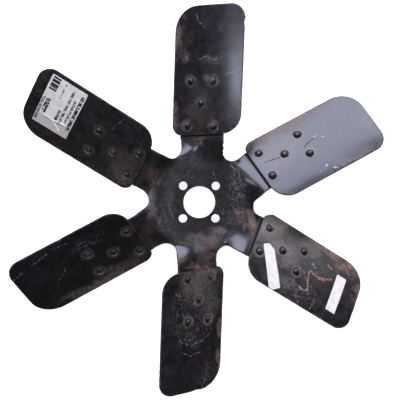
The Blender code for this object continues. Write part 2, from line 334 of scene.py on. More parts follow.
def distance_finder(points):
    """A function that tells how far a flat place is from the nearest of these points."""
    tree = kdtree.KDTree(len(points))
    for index, point in enumerate(points):
        tree.insert((point.x, point.y, 0.0), index)
    tree.balance()
    return lambda x, y: tree.find((x, y, 0.0))[2]


def lattice(loops, spacing):
    """A triangular lattice of points inside the outline and outside its holes."""
    to_edge = distance_finder([point for loop in loops for point in loop])
    row_height = spacing * math.sqrt(3.0) / 2.0
    lowest = min(point.y for point in loops[0])
    highest = max(point.y for point in loops[0])
    points = []
    for row in range(1, int((highest - lowest) / row_height)):
        y = lowest + row * row_height + HAIR
        crossings = []
        for loop in loops:
            for start, end in zip(loop, loop[1:] + loop[:1]):
                if (start.y > y) != (end.y > y):
                    share = (y - start.y) / (end.y - start.y)
                    crossings.append(start.x + share * (end.x - start.x))
        crossings.sort()
        shift = (row % 2) * spacing / 2.0
        for left, right in zip(crossings[::2], crossings[1::2]):
            first = math.ceil((left - shift) / spacing)
            last = math.floor((right - shift) / spacing)
            for column in range(first, last + 1):
                x = column * spacing + shift
                if to_edge(x, y) > spacing * CLEAR_OF_EDGE_SHARE:
                    points.append(Vector((x, y)))
    return points


def rounded_sheet(outline, holes, spacing, thickness, rounding):
    """A flat sheet from z = 0 down to -thickness, with its edges worn round.

    holes are circles, each a centre, a radius and a number of sides.
    """
    def loops_at(inset):
        rim = offset_loop(outline, [inset] * len(outline))
        rounds = [circle_loop(centre, radius + inset, sides) for centre, radius, sides in holes]
        return [rim] + rounds

    cap = loops_at(rounding)
    guard = loops_at(rounding + min(GUARD_INSET, 2.0 * rounding))
    points = [point for loop in cap for point in loop]
    edges = []
    first = 0
    for loop in cap:
        edges.extend((first + index, first + (index + 1) % len(loop)) for index in range(len(loop)))
        first += len(loop)
    guard_points = [point for loop in guard for point in loop]
    points.extend(guard_points)
    points.extend(lattice(guard, spacing))
    result = delaunay_2d_cdt(points, edges, [], TRIANGLES_IN_OUTLINE, MERGE_TOLERANCE)
    corners, _, triangles = result[:3]
    sheet = bmesh.new()
    top = [sheet.verts.new((corner.x, corner.y, 0.0)) for corner in corners]
    bottom = [sheet.verts.new((corner.x, corner.y, -thickness)) for corner in corners]
    for triangle in triangles:
        centre = sum((corners[index] for index in triangle), Vector((0.0, 0.0))) / 3.0
        if any((centre - hole).length < radius + rounding * 0.9 for hole, radius, _ in holes):
            continue
        sheet.faces.new([top[index] for index in triangle])
        sheet.faces.new([bottom[index] for index in reversed(triangle)])
    quarter = [math.pi / 2.0 * step / EDGE_ROUNDING_STEPS for step in range(EDGE_ROUNDING_STEPS + 1)]
    profile = [
        (rounding * (1.0 - math.sin(turn)), rounding * (1.0 - math.cos(turn))) for turn in quarter
    ]
    profile += [(inset, thickness - depth) for inset, depth in reversed(profile)]
    rings = []
    for inset, depth in profile[1:-1]:
        loops = loops_at(inset)
        rings.append([[sheet.verts.new((spot.x, spot.y, -depth)) for spot in loop] for loop in loops])
    first = 0
    for number, loop in enumerate(cap):
        members = range(first, first + len(loop))
        first += len(loop)
        stack = [[top[index] for index in members]]
        stack += [ring[number] for ring in rings]
        stack.append([bottom[index] for index in members])
        for upper, lower in zip(stack, stack[1:]):
            for index in range(len(upper)):
                after = (index + 1) % len(upper)
                sheet.faces.new((upper[index], lower[index], lower[after], upper[after]))
    loose = [vert for vert in sheet.verts if not vert.link_faces]
    bmesh.ops.delete(sheet, geom=loose, context="VERTS")
    bmesh.ops.recalc_face_normals(sheet, faces=list(sheet.faces))
    return sheet


def note_places(sheet, outline, seats):
    """Keep on the sheet where each point lay on the blank, for its shape and its finish.

    flat is its place in metres, inward how far it is from the rim, and front 1 on the front
    face. seat is how near one of these rivet seats is, for the pressing tree.
    """
    to_rim = distance_finder(outline)
    inward = sheet.verts.layers.float.new("inward")
    seat = sheet.verts.layers.float.new("seat")
    front = sheet.verts.layers.float.new("front")
    for vert in sheet.verts:
        spot = Vector((vert.co.x, vert.co.y))
        vert[inward] = to_rim(spot.x, spot.y)
        nearest = min(((spot - place).length for place in seats), default=1.0)
        vert[seat] = ease(1.0 - (nearest - RIVET_SHANK_RADIUS) / SEAT_REACH)
        vert[front] = 1.0 if vert.co.z > -HAIR else 0.0
    flat = sheet.loops.layers.uv.new("flat")
    for face in sheet.faces:
        for corner in face.loops:
            corner[flat].uv = (corner.vert.co.x, corner.vert.co.y)


def linked_object(name, data):
    item = bpy.data.objects.new(name, data)
    bpy.context.scene.collection.objects.link(item)
    return item


def finished_object(name, sheet, material=None):
    mesh = bpy.data.meshes.new(name)
    sheet.to_mesh(mesh)
    sheet.free()
    if material:
        mesh.materials.append(material)
    mesh.shade_smooth()
    return linked_object(name, mesh)


def rivet_places():
    """Station and place across the blade of each of its five rivets."""
    return [
        (OUTER_PAIR_STATION, RIVET_LINE - OUTER_PAIR_HALF_GAP),
        (OUTER_PAIR_STATION, RIVET_LINE + OUTER_PAIR_HALF_GAP),
        (MIDDLE_RIVET_STATION, RIVET_LINE),
        (INNER_PAIR_STATION, RIVET_LINE - INNER_PAIR_HALF_GAP),
        (INNER_PAIR_STATION, RIVET_LINE + INNER_PAIR_HALF_GAP),
    ]


# Geometry node trees

def new_tree(name, inputs):
    """An empty geometry node tree with a geometry input and output and these named inputs."""
    tree = bpy.data.node_groups.new(name, "GeometryNodeTree")
    tree.interface.new_socket("Geometry", in_out="INPUT", socket_type="NodeSocketGeometry")
    for label, kind in inputs.items():
        tree.interface.new_socket(label, in_out="INPUT", socket_type="NodeSocket" + kind)
    tree.interface.new_socket("Geometry", in_out="OUTPUT", socket_type="NodeSocketGeometry")
    return tree, tree.nodes.new("NodeGroupInput").outputs


def press_tree():
    """Presses a flat blank, drawn along +X, to a blade's pitch and camber, and sets it in place.

    The sheet swells a little round its rivets, and waves as an old pressing does.
    """
    tree, given = new_tree("press_sheet", {
        "Pitch": "Float", "Pitch Station": "Float", "Pitch Change": "Float",
        "Camber Radius": "Float", "Rivet Line": "Float", "Height": "Float", "Rim Fade": "Float",
        "Waviness": "Float", "Wave Length": "Float", "Rivet Swell": "Float", "Seed": "Float",
        "Arm Angle": "Float", "Lift": "Float", "Material": "Material",
    })
    node = partial(add_node, tree)
    stored = partial(node, "GeometryNodeInputNamedAttribute", data_type="FLOAT")
    seat = stored({"Name": "seat"})
    place = node("ShaderNodeSeparateXYZ", [node("GeometryNodeInputPosition")]).node.outputs
    station = place[0]
    across = node("ShaderNodeMath", [place[1], -1.0], operation="MULTIPLY")
    flat = node("ShaderNodeCombineXYZ", [station, across])
    swell = node("ShaderNodeTexNoise", {
        "Vector": flat, "W": given["Seed"], "Detail": 2.0, "Roughness": 0.4,
        "Scale": node("ShaderNodeMath", [1.0, given["Wave Length"]], operation="DIVIDE"),
    }, noise_dimensions="4D")
    inside = node(
        "ShaderNodeMapRange", {0: stored({"Name": "inward"}), 2: given["Rim Fade"]},
        interpolation_type="SMOOTHSTEP",
    )
    free = node("ShaderNodeMath", [inside, seat], operation="SUBTRACT", use_clamp=True)
    wave = node("ShaderNodeMath", [swell, 0.5], operation="SUBTRACT")
    wave = node("ShaderNodeMath", [wave, given["Waviness"]], operation="MULTIPLY")
    wave = node("ShaderNodeMath", [wave, free], operation="MULTIPLY")
    rise = node("ShaderNodeMath", [seat, given["Rivet Swell"]], operation="MULTIPLY")
    rise = node("ShaderNodeMath", [rise, wave], operation="ADD")
    front = node("ShaderNodeMath", [place[2], rise], operation="ADD")
    beyond = node("ShaderNodeMath", [station, given["Pitch Station"]], operation="SUBTRACT")
    pitch = node(
        "ShaderNodeMath", [beyond, given["Pitch Change"], given["Pitch"]], operation="MULTIPLY_ADD",
    )
    sine = node("ShaderNodeMath", [pitch], operation="SINE")
    cosine = node("ShaderNodeMath", [pitch], operation="COSINE")
    from_line = node("ShaderNodeMath", [across, given["Rivet Line"]], operation="SUBTRACT")
    square = node("ShaderNodeMath", [from_line, from_line], operation="MULTIPLY")
    round_twice = node("ShaderNodeMath", [given["Camber Radius"], 2.0], operation="MULTIPLY")
    bend = node("ShaderNodeMath", [square, round_twice], operation="DIVIDE")
    sag = node("ShaderNodeMath", [bend, front], operation="SUBTRACT")
    sag_sine = node("ShaderNodeMath", [sag, sine], operation="MULTIPLY")
    right = node("ShaderNodeMath", [across, cosine, sag_sine], operation="MULTIPLY_ADD")
    sag_cosine = node("ShaderNodeMath", [sag, cosine], operation="MULTIPLY")
    climb = node("ShaderNodeMath", [from_line, sine, given["Height"]], operation="MULTIPLY_ADD")
    height = node("ShaderNodeMath", [climb, sag_cosine], operation="SUBTRACT")
    height = node("ShaderNodeMath", [height, given["Lift"]], operation="ADD")
    left = node("ShaderNodeMath", [right, -1.0], operation="MULTIPLY")
    pressed = node("ShaderNodeCombineXYZ", [station, left, height])
    turned = node(
        "ShaderNodeVectorRotate", {"Vector": pressed, "Angle": given["Arm Angle"]},
        rotation_type="Z_AXIS",
    )
    moved = node("GeometryNodeSetPosition", {"Geometry": given["Geometry"], "Position": turned})
    real = node("GeometryNodeRealizeInstances", [moved])
    painted = node("GeometryNodeSetMaterial", {"Geometry": real, "Material": given["Material"]})
    node("NodeGroupOutput", [painted])
    return tree


def rivet_tree():
    """Sets one rivet on each point, a little unlike its neighbours as hand-closed rivets are."""
    tree, given = new_tree("set_rivets", {
        "Rivet": "Object", "Size Change": "Float", "Hammer Marks": "Float", "Mark Size": "Float",
        "Seed": "Int", "Material": "Material",
    })
    node = partial(add_node, tree)
    rivet = node("GeometryNodeObjectInfo", {"Object": given["Rivet"]}, output="Geometry")
    lean = node("GeometryNodeInputNamedAttribute", {"Name": "lean"}, data_type="FLOAT_VECTOR")
    upright = node("FunctionNodeEulerToRotation", [lean])
    spin = node("FunctionNodeRandomValue", {2: 0.0, 3: 2.0 * math.pi, "Seed": given["Seed"]}, output=1)
    turn = node("FunctionNodeEulerToRotation", [node("ShaderNodeCombineXYZ", {2: spin})])
    facing = node("FunctionNodeRotateRotation", [upright, turn], rotation_space="LOCAL")
    least = node("ShaderNodeMath", [1.0, given["Size Change"]], operation="SUBTRACT")
    size = node("FunctionNodeRandomValue", {2: least, 3: 1.0, "Seed": given["Seed"]}, output=1)
    placed = node("GeometryNodeInstanceOnPoints", {
        "Points": given["Geometry"], "Instance": rivet, "Rotation": facing,
        "Scale": node("ShaderNodeCombineXYZ", [size, size, 1.0]),
    })
    real = node("GeometryNodeRealizeInstances", [placed])
    grain = node("ShaderNodeMath", [1.0, given["Mark Size"]], operation="DIVIDE")
    marks = node("ShaderNodeTexNoise", {"Scale": grain, "Detail": 1.0})
    marks = node("ShaderNodeMath", [marks, 1.0], operation="SUBTRACT")
    depth = node("ShaderNodeMath", [marks, given["Hammer Marks"]], operation="MULTIPLY")
    offset = node(
        "ShaderNodeVectorMath", {0: node("GeometryNodeInputNormal"), "Scale": depth},
        operation="SCALE",
    )
    dented = node("GeometryNodeSetPosition", {"Geometry": real, "Offset": offset})
    painted = node("GeometryNodeSetMaterial", {"Geometry": dented, "Material": given["Material"]})
    node("NodeGroupOutput", [painted])
    return tree


def shaped_by_tree(item, tree, values):
    """Run item through the tree with these inputs and keep the result as item's plain mesh."""
    modifier = item.modifiers.new(tree.name, "NODES")
    modifier.node_group = tree
    for entry in tree.interface.items_tree:
        if entry.in_out == "INPUT" and entry.name in values:
            modifier[entry.identifier] = values[entry.name]
    graph = bpy.context.evaluated_depsgraph_get()
    mesh = bpy.data.meshes.new_from_object(item.evaluated_get(graph))
    mesh.name = item.name
    item.modifiers.remove(modifier)
    item.data = mesh
    return item


def press_values(number, material):
    """Inputs of the pressing tree for what lies on this arm."""
    return {
        "Pitch": PITCH, "Pitch Station": PITCH_STATION, "Pitch Change": PITCH_CHANGE_PER_M,
        "Camber Radius": CAMBER_RADIUS, "Rivet Line": RIVET_LINE, "Height": BLADE_HEIGHT,
        "Rim Fade": FADE_FROM_RIM, "Waviness": 1.1 * MM, "Wave Length": 55.0 * MM,
        "Rivet Swell": 0.2 * MM, "Seed": 1.7 * number, "Arm Angle": arm_angle(number),
        "Lift": HUB_FRONT, "Material": material,
    }


# Nicks in sheared edges: place on the blank, reach along the edge, and depth, which is negative
# where the edge stands out
BLADE_NICKS = {
    1: [
        ((214.0 * MM, -46.3 * MM), 2.2 * MM, -0.9 * MM),
        ((208.0 * MM, -46.3 * MM), 6.0 * MM, 0.7 * MM),
    ],
    3: [((83.0 * MM, 38.0 * MM), 7.0 * MM, 0.8 * MM)],
    4: [((229.6 * MM, 4.0 * MM), 8.0 * MM, 0.7 * MM), ((229.6 * MM, 22.0 * MM), 5.0 * MM, 0.5 * MM)],
    5: [((160.0 * MM, -46.2 * MM), 5.0 * MM, 0.5 * MM)],
}
SPIDER_NICKS = [
    ((26.0 * MM, 68.0 * MM), 3.0 * MM, 1.1 * MM), ((26.3 * MM, 61.5 * MM), 2.6 * MM, 1.2 * MM),
    ((26.3 * MM, 57.0 * MM), 2.4 * MM, 0.9 * MM),
]


# Blades

def make_blade(number, tree, material):
    corners = [blank_point(0.0, *corner) for corner, _ in BLADE_CORNERS]
    outline = rounded_outline(corners, [radius for _, radius in BLADE_CORNERS])
    outline = sheared_outline(outline, float(number), BLADE_NICKS.get(number, ()))
    seats = [blank_point(0.0, station, across) for station, across in rivet_places()]
    holes = [(seat, RIVET_HOLE_RADIUS, HOLE_SIDES) for seat in seats]
    blank = rounded_sheet(outline, holes, CELL, BLADE_THICKNESS, EDGE_ROUNDING)
    note_places(blank, outline, seats)
    blade = finished_object(f"pressed_blade_{number}", blank)
    shaped_by_tree(blade, tree, press_values(number, material))
    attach(blade, BODY)
    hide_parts(f"blade_{number}")
    return outline


# Spider

def tangent_point(centre, outside, side):
    """Where a straight run from outside touches the valley's circle."""
    to_outside = (outside - centre).normalized()
    spread = math.acos(VALLEY_RADIUS / (outside - centre).length)
    return centre + Matrix.Rotation(side * spread, 2) @ to_outside * VALLEY_RADIUS


def valley_arc(number):
    """The rounded valley between an arm's right side and the next arm's left side."""
    left_arm = arm_angle(number)
    middle = left_arm - ARM_SPACING / 2.0
    shallow = number == SHALLOW_VALLEY_ARM
    centre_radius = SHALLOW_VALLEY_CENTRE_RADIUS if shallow else VALLEY_CENTRE_RADIUS
    centre = blank_point(middle, centre_radius, 0.0)
    bottom = blank_point(middle, centre_radius - VALLEY_RADIUS, 0.0)
    start = tangent_point(centre, blank_point(left_arm, NECK_STATION, NECK_RIGHT), 1.0)
    end = tangent_point(centre, blank_point(left_arm - ARM_SPACING, NECK_STATION, NECK_LEFT), -1.0)
    return arc_between(centre, start, bottom) + arc_between(centre, bottom, end)[1:]


def spider_outline():
    stretches = []
    for number in ARM_NUMBERS:
        angle = arm_angle(number)
        neck_left = blank_point(angle, NECK_STATION, NECK_LEFT)
        end_left = blank_point(angle, ARM_END, ARM_END_LEFT)
        end_right = blank_point(angle, ARM_END, ARM_END_RIGHT)
        neck_right = blank_point(angle, NECK_STATION, NECK_RIGHT)
        stretches.append([neck_left])
        stretches.append(corner_arc(neck_left, end_left, end_right, ARM_CORNER_RADIUS))
        stretches.append(corner_arc(end_left, end_right, neck_right, ARM_CORNER_RADIUS))
        stretches.append([neck_right])
        stretches.append(valley_arc(number))
    return closed_outline(stretches)


def spider_shape(x, y, depth):
    """Place of a point of the spider's flat blank once the hub step and the arms are pressed."""
    radius = math.hypot(x, y)
    angle = math.atan2(y, x)
    nearest_arm = arm_angle(1 + round((FIRST_ARM_ANGLE - angle) / ARM_SPACING))
    station = radius * math.cos(angle - nearest_arm)
    across = -radius * math.sin(angle - nearest_arm)
    fade = ease((ARM_SPACING / 2.0 - abs(angle - nearest_arm)) / TWIST_FADE_ANGLE)
    twist = fade * ease((station - TWIST_START) / (TWIST_END - TWIST_START))
    point = pressed_point(station, across, ARM_DEPTH + depth, twist)
    climb = ease((radius - MOUNTING_DISC_RADIUS) / (STEP_OUTER_RADIUS - MOUNTING_DISC_RADIUS))
    point.z -= HUB_STEP * (1.0 - climb)
    return Matrix.Rotation(nearest_arm, 3, "Z") @ point


def make_spider(material):
    outline = sheared_outline(spider_outline(), SPIDER_SHEAR_SEED, SPIDER_NICKS)
    half = BOLT_SQUARE_SIDE / 2.0
    seats = []
    for number in ARM_NUMBERS:
        angle = arm_angle(number)
        seats.extend(blank_point(angle, station, across) for station, across in rivet_places())
    holes = [(seat, RIVET_HOLE_RADIUS, HOLE_SIDES) for seat in seats]
    holes.append((Vector((0.0, 0.0)), BORE_RADIUS, BORE_SIDES))
    for x in (-half, half):
        for y in (-half, half):
            holes.append((Vector((x, y)), BOLT_HOLE_RADIUS, HOLE_SIDES))
    blank = rounded_sheet(outline, holes, CELL, SPIDER_THICKNESS, EDGE_ROUNDING)
    note_places(blank, outline, [])
    for vert in blank.verts:
        vert.co = spider_shape(vert.co.x, vert.co.y, -vert.co.z)
        vert.co.z += HUB_FRONT
    spider = finished_object("pressed_spider", blank, material)
    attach(spider, BODY)
    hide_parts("spider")


# Rivets

def rivet_profile():
    """Half section from the top of the head down to the tip of the tail."""
    grip = BLADE_THICKNESS + SPIDER_THICKNESS + SEAT_GAP
    points = []
    for step in range(RIVET_HEAD_STEPS + 1):
        angle = math.pi / 2.0 * (1.0 - step / RIVET_HEAD_STEPS)
        height = RIVET_HEAD_HEIGHT * math.sin(angle) ** RIVET_DOME_POWER
        points.append((RIVET_HEAD_RADIUS * math.cos(angle), height))
    points.append((RIVET_HEAD_RADIUS, -RIVET_HEAD_SINK))
    points.append((RIVET_SHANK_RADIUS, -RIVET_HEAD_SINK))
    points.append((RIVET_SHANK_RADIUS, -grip))
    for step in range(RIVET_TAIL_STEPS + 1):
        angle = math.pi / 2.0 * step / RIVET_TAIL_STEPS
        height = -grip - RIVET_TAIL_HEIGHT * math.sin(angle)
        points.append((RIVET_TAIL_RADIUS * math.cos(angle), height))
    return points


def make_rivet_pattern():
    """One whole rivet at the origin, turned from its half section."""
    profile = bmesh.new()
    verts = [profile.verts.new((radius, 0.0, height)) for radius, height in rivet_profile()]
    for upper, lower in zip(verts, verts[1:]):
        profile.edges.new((upper, lower))
    bmesh.ops.spin(
        profile, geom=profile.verts[:] + profile.edges[:], axis=(0.0, 0.0, 1.0), cent=(0.0, 0.0, 0.0),
        angle=2.0 * math.pi, steps=RIVET_SIDES, use_duplicate=False,
    )
    bmesh.ops.remove_doubles(profile, verts=profile.verts, dist=0.001 * MM)
    bmesh.ops.recalc_face_normals(profile, faces=profile.faces)
    # foot holds painted shade, growing to full on the head's lower rim
    foot = profile.verts.layers.float.new("foot")
    for vert in profile.verts:
        radius = math.hypot(vert.co.x, vert.co.y)
        vert[foot] = ease((radius / RIVET_HEAD_RADIUS - RIVET_FOOT_SHARE) / RIVET_FOOT_FADE)
    return finished_object("rivet_pattern", profile)


def make_rivets(material):
    points = bmesh.new()
    lean = points.verts.layers.float_vector.new("lean")
    for number in ARM_NUMBERS:
        for station, across in rivet_places():
            slope = pitch_at(station) - (across - RIVET_LINE) / CAMBER_RADIUS
            seat = Matrix.Translation(pressed_point(station, across, 0.0))
            placement = arm_placement(number) @ (seat @ Matrix.Rotation(-slope, 4, "X"))
            vert = points.verts.new(placement.translation)
            vert[lean] = Vector(placement.to_euler())
    rivets = finished_object("rivets", points)
    pattern = make_rivet_pattern()
    shaped_by_tree(rivets, rivet_tree(), {
        "Rivet": pattern, "Size Change": 0.05, "Hammer Marks": 0.35 * MM, "Mark Size": 4.0 * MM,
        "Seed": 5, "Material": material,
    })
    rivets.data.shade_smooth()
    rivets.data.set_sharp_from_angle(angle=RIVET_SHARP_ANGLE)
    bpy.data.objects.remove(pattern, do_unlink=True)
    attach(rivets, BODY)
    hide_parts(*(name for name in frame["nodes"] if name.startswith("rivet_")))


# Papers

def paper_lift(name, x, y):
    """How far a paper stands off its blade, at x along and y across it from its centre."""
    if name == "paper_label":
        crease = CREASE_HEIGHT * math.exp(-((y - CREASE_PLACE) / CREASE_WIDTH) ** 2)
        return crease if abs(x) < CREASE_HALF_LENGTH else 0.0
    buckle = noise.noise(Vector((x, y, 0.0)) / BUCKLE_LENGTH)
    return BUCKLE_HEIGHT * max(0.0, buckle)


def make_paper(name, tree, material, blade_rim):
    """A stuck-on sheet, pressed to its blade's shape."""
    number, centre, turn, corners, corner_radius = PAPERS[name]
    corners = [Vector((x * MM, y * MM)) for x, y in corners]
    outline = rounded_outline(corners, [corner_radius] * len(corners))
    outline = sheared_outline(outline, PAPER_SHEAR_SEED + number)
    sheet = rounded_sheet(outline, [], PAPER_CELL, PAPER_THICKNESS, PAPER_ROUNDING)
    note_places(sheet, outline, [])
    to_blade_rim = distance_finder(blade_rim)
    inward = sheet.verts.layers.float["inward"]
    middle = blank_point(0.0, *centre).to_3d()
    to_blade = Matrix.Translation(middle) @ Matrix.Rotation(-turn, 4, "Z")
    for vert in sheet.verts:
        lift = paper_lift(name, vert.co.x, vert.co.y)
        vert.co = to_blade @ vert.co
        vert.co.z += PAPER_THICKNESS + PAPER_CLEARANCE + lift
        vert[inward] = to_blade_rim(vert.co.x, vert.co.y)
    paper = finished_object(f"stuck_{name}", sheet)
    shaped_by_tree(paper, tree, press_values(number, material))
    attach(paper, BODY)
    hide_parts(name)


# Finishes. Places on blades are in mm: station from the axis, then place across the blade.
# Places on the spider are in mm along X and Y. dust, rust and halo, the film round the rivets,
# run from 0 to 1. dusty, rusty and crazed are soft ovals, each with its centre, its half length
# and half width, and its strength. scratches, scuffs, cuts and wax are drawn lines.

ENAMEL_BLACK = "0c0b0e"
ENAMEL_CHALKED = "16161a"
ROAD_DUST = "8a7f79"
RUST_DARK = "3b2c25"
RUST_LIGHT = "87695b"
# Black for cuts, grime and the sheared rim, and for painted shade round the rivets' feet and painted
# shadow in the spider's seams
SCUFFED = "b4b1b3"
GRIME_AND_SHADE = "050505"
WAX_BROWN = "93685a"
RIVET_BLACK = "080708"
RIVET_WORN = "1e1917"
RIVET_RUST = "4a3328"
# Painted shade on each rivet head's lower rim
RIVET_RIM_SHADE = "060505"
LABEL_WHITE = "cbc8c3"
LABEL_GRIMY = "b3afaa"
# Painted shade on the label past its crease
LABEL_SHADED_GREY = "aaa49f"
LABEL_INK = "1c1b20"
# Painted highlight along the label's crease
CREASE_HIGHLIGHT = "f2f2f6"
CREASE_SHADOW = "5a5658"
TAPE_WHITE = "cac6bb"
TAPE_SOILED = "b2aca2"

BLADE_WEAR = {
    1: {
        "dust": 0.05, "rust": 0.08, "halo": 0.24,
        "dusty": [
            ((112, -8), (40, 26), 0.14), ((200, -34), (36, 9), 0.22), ((166, 8), (10, 24), 0.14),
            ((172, -28), (12, 12), 0.25),
        ],
        "rusty": [((98, -38), (28, 9), 0.55), ((190, -41), (50, 6), 0.5), ((144, 2), (10, 5), 0.4)],
        "scratches": [
            [(148.3, 21.9), (151.6, 31.4), (152.0, 43.1)],
            [(166.8, -8.7), (171.0, 1.3), (166.1, 11.4), (169.3, 21.1)],
            [(219.6, -13.2), (210.2, -9.0), (204.1, -1.2)],
        ],
    },
    2: {
        "dust": 0.06, "rust": 0.04, "halo": 0.4,
        "dusty": [
            ((150, -38), (90, 12), 0.2), ((112, -12), (48, 32), 0.34), ((222, 14), (9, 26), 0.14),
            ((95, -4), (16, 12), 0.12), ((176, 41), (46, 7), 0.25),
        ],
        "rusty": [((91, 17), (9, 9), 0.6), ((136, -40), (90, 17), 0.5), ((206, 40), (44, 11), 0.15)],
        "scuffs": [
            [(156.6, -5.7), (162.5, -5.2), (167.5, 0.2)],
            [(148.2, 35.8), (152.5, 33.3)], [(156.6, 39.9), (162.4, 42.5)],
        ],
        "scratches": [[(137.8, 38.4), (148.2, 35.8)]],
        "cuts": [
            [(141.1, 0.5), (149.6, -2.1), (156.5, -3.3)],
            [(91.3, -5.9), (100.1, -4.4), (109.8, -2.4)],
        ],
    },
    3: {
        "dust": 0.08, "rust": 0.06, "halo": 0.45,
        "dusty": [
            ((88, -22), (34, 28), 0.75), ((116, -6), (40, 26), 0.5), ((130, 30), (40, 18), 0.22),
            ((150, -25), (30, 16), 0.4),
        ],
        "rusty": [
            ((168, -37), (40, 9), 1.0), ((205, -31), (32, 14), 1.0), ((227, -8), (7, 24), 0.5),
            ((96, -38), (20, 8), 0.5),
        ],
        "crazed": [((152, 30), (38, 20), 0.9), ((120, 10), (30, 16), 0.4), ((165, -8), (26, 16), 0.5)],
        "scuffs": [[(159.8, -10.0), (163.5, -6.4)], [(179.0, -19.4), (185.1, -17.1)]],
        "scratches": [[(153.5, 9.5), (163.2, 15.1), (176.7, 22.5), (177.4, 34.3), (175.7, 43.3)]],
        "wax": [
            [(152.5, 25.4), (159.0, 27.2), (165.4, 24.0), (162.8, 19.4), (157.9, 3.6), (160.2, 0.6)],
            [(160.2, 0.6), (168.5, 2.8), (176.7, 0.9), (190.0, -4.6)],
            [(167.0, -0.6), (173.0, 3.2), (182.0, 0.8)], [(151.6, 5.6), (152.4, 7.0)],
        ],
    },
    4: {
        "dust": 0.04, "rust": 0.07, "halo": 0.4,
        "dusty": [((92, 0), (26, 38), 0.3), ((120, -20), (44, 20), 0.16)],
        "rusty": [
            ((82, -18), (8, 30), 0.6), ((150, -41), (75, 6), 0.6), ((195, -37), (20, 8), 0.6),
            ((112, 6), (24, 16), 0.25),
        ],
        "crazed": [
            ((135, 24), (26, 16), 0.8), ((165, 5), (14, 30), 0.7), ((110, 20), (20, 20), 0.7),
            ((215, -20), (18, 16), 0.6), ((130, -8), (50, 34), 0.55),
        ],
        "scratches": [
            [(158.0, 25.7), (166.4, 18.7), (171.2, 4.6), (167.8, -11.3), (160.9, -21.6)],
            [(177.0, 21.0), (184.3, 6.9), (182.0, -7.4)], [(228.0, -12.0), (214.0, -18.0)],
        ],
    },
    5: {
        "dust": 0.01, "rust": 0.04, "halo": 0.2,
        "dusty": [((150, -36), (50, 9), 0.3), ((186, -30), (24, 8), 0.18)],
        "rusty": [((120, -30), (40, 14), 0.25)],
        "crazed": [((135, 26), (28, 10), 0.6)],
        "scratches": [
            [(227.0, 28.2), (214.1, 30.7)], [(203.7, 33.2), (179.6, 37.7)],
            [(172.4, 39.2), (154.2, 38.0)], [(190.2, -4.1), (172.8, 8.0)],
        ],
    },
    6: {
        "dust": 0.06, "rust": 0.08, "halo": 0.2,
        "dusty": [((100, -8), (36, 32), 0.16)],
        "rusty": [((92, -26), (24, 14), 0.35), ((150, -40), (60, 6), 0.2)],
        "scratches": [[(130.5, 21.0), (129.4, 29.0), (125.0, 40.4)]],
    },
}

# Seams are the arms with painted shadow along their blade's inner edge, and rings the radius and the
# strength of each pale band round the hub, partly rubbed paint and partly painted reflection off the
# hub step, on its rubbed and lit side
SPIDER_WEAR = {
    "dust": 0.07, "rust": 0.05,
    "dusty": [
        ((-34, 6), (14, 34), 0.16), ((-30, 32), (24, 24), 0.13), ((-8, 46), (34, 10), 0.16),
        ((8, -46), (34, 12), 0.3), ((26, -36), (18, 12), 0.4), ((62, -18), (12, 16), 0.6),
        ((-58, 0), (16, 26), 0.34), ((-12, 70), (14, 8), 0.12), ((8, -66), (22, 14), 0.2),
    ],
    "rusty": [
        ((64, -24), (14, 14), 0.6), ((6, -78), (30, 5), 0.8), ((16, -66), (9, 14), 0.5),
        ((-60, -30), (20, 20), 0.12), ((-60, 34), (20, 20), 0.25), ((48, -16), (12, 12), 0.4),
        ((14, -54), (22, 12), 0.3), ((-4, 76), (18, 5), 0.4),
    ],
    "crazed": [
        ((46, 14), (16, 40), 0.9), ((34, -16), (18, 20), 0.6), ((8, -40), (34, 14), 0.5),
        ((-8, 34), (10, 12), 0.5), ((-40, -24), (16, 18), 0.4),
    ],
    "scratches": [
        [(36.3, 47.5), (40.8, 38.8), (42.0, 29.2), (39.9, 21.4), (31.2, 20.1)],
        [(44.2, 37.6), (48.7, 28.0), (50.1, 13.6), (52.3, 7.0)],
        [(38.2, -2.2), (41.9, -9.4), (46.9, -13.1), (53.0, -11.9)], [(16.0, 36.2), (19.1, 29.1)],
    ],
    "cuts": [[(-34.8, 51.3), (-37.7, 45.4), (-44.7, 30.0)], [(36.3, 49.5), (46.2, 36.4)]],
    "shadowed_seams": (1, 2, 3), "rings": ((36.5, 0.3), (54.0, 0.32), (44.0, 0.16)),
}
# The side of the hub where the pale rings show, both rubbed paint and the painted reflection off the
# step
RUBBED_AND_LIT_SIDE = [((-38, 8), (44, 62), 1.0)]
BACK_DUST = 0.4
BACK_RUST = 0.35

# Sign that turns a place across a blade, or a place along Y on the spider, to the blank's Y
BLADE_SIDE = -1.0
SPIDER_SIDE = 1.0

# The patterns of each piece are shifted by its number times this, in metres
PATTERN_SHIFT = (0.31, 0.17)
SPIDER_NUMBER = ARM_COUNT + 1


def new_material(name):
    material = bpy.data.materials.new(name)
    material.use_nodes = True
    return material, material.node_tree, material.node_tree.nodes["Principled BSDF"]


def layered(tree, colour, coats):
    """A colour with each coat laid over it as far as the coat's mask says."""
    for mask, coat in coats:
        colour = add_node(tree, "ShaderNodeMix", {0: mask, 6: colour, 7: coat}, 2, data_type="RGBA")
    return colour


def blotches(tree, spot, size, low, high, detail=5.0, least=0.0):
    """Uneven patches of about this size in metres, from least to 1 as their noise climbs."""
    grain = add_node(tree, "ShaderNodeTexNoise", {
        "Vector": spot, "Scale": 1.0 / size, "Detail": detail, "Roughness": 0.62,
    })
    return add_node(
        tree, "ShaderNodeMapRange", [grain, low, high, least, 1.0],
        interpolation_type="SMOOTHSTEP",
    )


def broken_up(tree, mask, *patches, **settings):
    """A mask kept only in uneven patches, which are given as for blotches."""
    kept = blotches(tree, *patches, **settings)
    return add_node(tree, "ShaderNodeMath", [mask, kept], operation="MULTIPLY")


